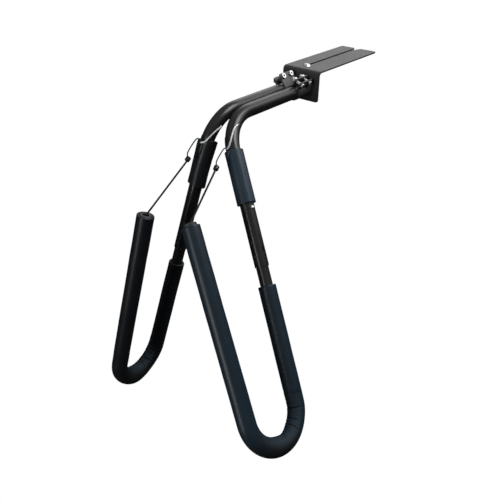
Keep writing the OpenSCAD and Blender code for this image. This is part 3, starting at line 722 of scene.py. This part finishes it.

# Hook pads: one long foam sleeve over each J, of the same foam as the arm's, which is painted
# lighter on the arms as painted light. It is squeezed into fine creases on the inside of the bend and
# stretched smooth on the outside.
foam_skin = {
    RIGHT: foam("dark slate blue foam", dark=(0.011, 0.022, 0.033), light=(0.018, 0.033, 0.047)),
    LEFT: foam("black foam", dark=(0.006, 0.0075, 0.009), light=(0.011, 0.014, 0.018)),
}


def along_hook(v):
    # How far along the hook a point is, its offset from the tube's axis, and the way to the
    # inside of the J there
    x, y, z = v
    if z <= STRAIGHT and y > -J:
        return z, Vector((x, y, 0)), Vector((0, -1, 0))
    dy, dz = y + J, z - STRAIGHT
    a = math.atan2(dz, dy)
    if a < -1.0:
        a += 2 * math.pi
    a = min(max(a, 0), J_ANGLE)
    head = Vector((0, -math.sin(a), math.cos(a)))
    centre = Vector((0, -J + J * math.cos(a), STRAIGHT + J * math.sin(a)))
    rest = Vector(v) - centre
    extra = max(rest.dot(head), 0) if a >= J_ANGLE - 1e-6 else 0
    rest -= head * rest.dot(head)
    return STRAIGHT + J * a + extra, rest, Vector((0, -math.cos(a), -math.sin(a)))


# The folds that show, each from its end on the inside of the bend to its outer end: how far along
# the hook in mm, the turn in degrees, and the depth
folds = {
    RIGHT: [
        (336, -26, 335.5, -53, 0.45), (339, -32, 339.5, -60, 0.45), (355.5, -28, 355.5, -90, 0.9),
        (360, -30, 359, -68, 0.6), (370.5, 5, 370.5, -43, 0.85), (382, 10, 380.5, -80, 1.0),
        (403.5, 5, 404.5, -52, 0.85), (418, -4, 418.5, -48, 0.85), (418.5, -48, 421, -80, 0.6),
        (451, -25, 450, -57, 0.55),
    ],
    LEFT: [
        (386, 8, 387, -33, 0.8), (397, 14, 398.5, -36, 0.9), (416.5, 22, 415.5, -46, 1.0),
        (432.5, 5, 436.5, -42, 0.5), (461.5, -9, 460.5, -42, 0.75), (477.5, 0, 484, -36, 0.6),
    ],
}
# Where the foam is painted lighter and bluer, as painted light on the side of the bend that faces the
# light: the angle along the bend in degrees, the side it faces in radians, and its reach along and
# round the hook
painted_light_patches = {RIGHT: (58, -0.7, 80, 0.9), LEFT: (56, -0.2, 55, 0.62)}

# Where the foam bunches up, or is drawn thin: the angle along the bend, the side it faces, its
# reach along and round the hook, all in degrees, and its height
bulges = {
    RIGHT: [(95, -165, 38, 80, 0.0018), (72, 30, 18, 55, -0.0028), (30, -115, 26, 50, -0.0013)],
    LEFT: [
        (98, -130, 34, 70, 0.0055), (25, 60, 38, 55, 0.0018), (180, -175, 26, 60, -0.0013),
        (186, 0, 26, 60, 0.0009),
    ],
}
# The pad's outer radius, its thickness, and the radius within which a point is of the inner wall
HOOK_SKIN, HOOK_WALL, HOOK_INNER = 0.0158, 0.00448, 0.0135
# Where the pad starts on the tube, and how far each one stands past the tube's end
PAD_TOP = 0.1685
beyond = {RIGHT: 0.001, LEFT: 0.0055}
LEG_RINGS, BEND_RINGS, END_RINGS = 60, 170, 90
CREASE_WIDE, FOLD_WIDE, FOLD_DEEP = 0.0011, 0.00115, 0.0014
FOLD_REACH = 0.012
SWELL_HIGH = 0.00012
for side in (RIGHT, LEFT):
    name = side_name[side]
    bpy.ops.mesh.primitive_circle_add(vertices=72, radius=HOOK_SKIN, location=(0, 0, PAD_TOP))
    pad = bpy.context.object
    pad.name = "hook_foam_" + name
    bpy.ops.object.transform_apply(location=True)
    edit(pad)
    extrude_by((0, 0, (STRAIGHT - PAD_TOP) / LEG_RINGS), LEG_RINGS)
    bpy.ops.mesh.spin(
        steps=BEND_RINGS, angle=J_ANGLE, center=(0, -J, STRAIGHT), axis=(-1, 0, 0)
    )
    heading = Vector((0, -math.sin(J_ANGLE), math.cos(J_ANGLE)))
    extrude_by(heading * ((J_UP + beyond[side]) / END_RINGS), END_RINGS)
    close_sleeve(pad, wall=HOOK_WALL, rim=0.0016)
    chance = random.Random(31 + side)
    # The creases on the far side: how far along, the side each faces, its reach and its depth
    creases = []
    at = STRAIGHT - 0.02
    while at < STRAIGHT + 0.62 * (J * J_ANGLE):
        creases.append(
            (at, chance.uniform(0.3, 1.1), chance.uniform(0.35, 0.9), chance.uniform(0.3, 1.0))
        )
        at += chance.uniform(0.004, 0.0095)
    # Slow swells all over: how far along each is, its turn and its length
    swells = [
        (chance.uniform(0.17, 0.88), chance.uniform(0, 6.28), chance.uniform(0.015, 0.04))
        for k in range(40)
    ]
    fold_lines = [
        (
            (s_in / 1000, math.radians(turn_in) * HOOK_SKIN),
            (s_out / 1000, math.radians(turn_out) * HOOK_SKIN), deep,
        )
        for s_in, turn_in, s_out, turn_out, deep in folds[side]
    ]
    dark, painted_light_share, shaded, matte = [], [], [], []
    for v in pad.data.vertices:
        s, rest, inside = along_hook(v.co)
        for values in (dark, painted_light_share, shaded, matte):
            values.append(0.0)
        if rest.length < HOOK_INNER:
            continue
        ray = rest.normalized()
        turn = math.acos(max(-1, min(1, ray.dot(inside)))) * (1 if ray.x > 0 else -1)
        push = 0.0
        # Creases and folds are cut into the skin and painted darker along them, as painted shade
        for at, middle, wide, deep in creases:
            near = (s - at) / CREASE_WIDE
            if abs(near) < 4:
                cut = deep * math.exp(-near * near) * math.exp(-((turn - middle) / wide) ** 2)
                push -= FOLD_DEEP * cut
                dark[-1] = min(1, dark[-1] + 0.9 * cut)
        for inner_end, outer_end, deep in fold_lines:
            if abs(s - inner_end[0]) < FOLD_REACH:
                near = near_line((s, turn * HOOK_SKIN), inner_end, outer_end) / FOLD_WIDE
                cut = deep * math.exp(-near ** 2)
                push -= FOLD_DEEP * cut
                dark[-1] = min(1, dark[-1] + cut)
        for at, middle, wide in swells:
            gap = (s - at) / wide
            if abs(gap) < 3:
                push += SWELL_HIGH * math.exp(-gap * gap) * math.cos(turn - middle)
        bend = math.degrees((s - STRAIGHT) / J)
        for middle, facing, long, wide, high in bulges[side]:
            off = (turn - math.radians(facing) + math.pi) % (2 * math.pi) - math.pi
            push += high * math.exp(-((bend - middle) / long) ** 2 - (off / math.radians(wide)) ** 2)
        # Painted light: the side of the bend that faces the light is painted lighter and bluer
        middle, facing, long, wide = painted_light_patches[side]
        painted_light_share[-1] = math.exp(
            -(abs(bend - middle) / long) ** 4 - (abs(turn - facing) / wide) ** 4
        )
        # The bottom of the bend is painted darker all round, as painted shade, and is duller
        shaded[-1] = math.exp(-(abs(bend - 100) / 45) ** 4)
        matte[-1] = max(painted_light_share[-1], shaded[-1])
        v.co += ray * push
    fields = {"painted_crease_shade": dark, "painted_light": painted_light_share, "shade": shaded, "matte": matte}
    for mark, values in fields.items():
        write_field(pad, mark, values)
    pad.data.transform(arm_frame(side) @ hook_turn(side))
    pad.data.materials.append(foam_skin[side])
    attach(pad, "hook_" + name)
    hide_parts("hook_pad_" + name)

# End caps: a plug of dark slate moulded plastic in the open end of each J, with a rim and a dished
# hole that the cord leaves by.
cap_plastic = painted(
    "slate moulded plastic", dark=(0.016, 0.022, 0.028), light=(0.026, 0.034, 0.042),
    grain_size=500, bump=0.00004, rough=(0.4, 0.5), gloss=0.5,
)
for side in ("left", "right"):
    dress("end_cap_" + side, cap_plastic)

# Snap buttons: a bright plated pin that stands out of a hole in each arm and locks the hook, pushed
# out by a blued strip spring inside the hook tube.
spring_strip = plated("blued spring strip", colour=(0.32, 0.34, 0.38), rough=(0.3, 0.45))
for side in ("left", "right"):
    dress("snap_button_" + side, zinc)
    dress("button_spring_" + side, spring_strip)
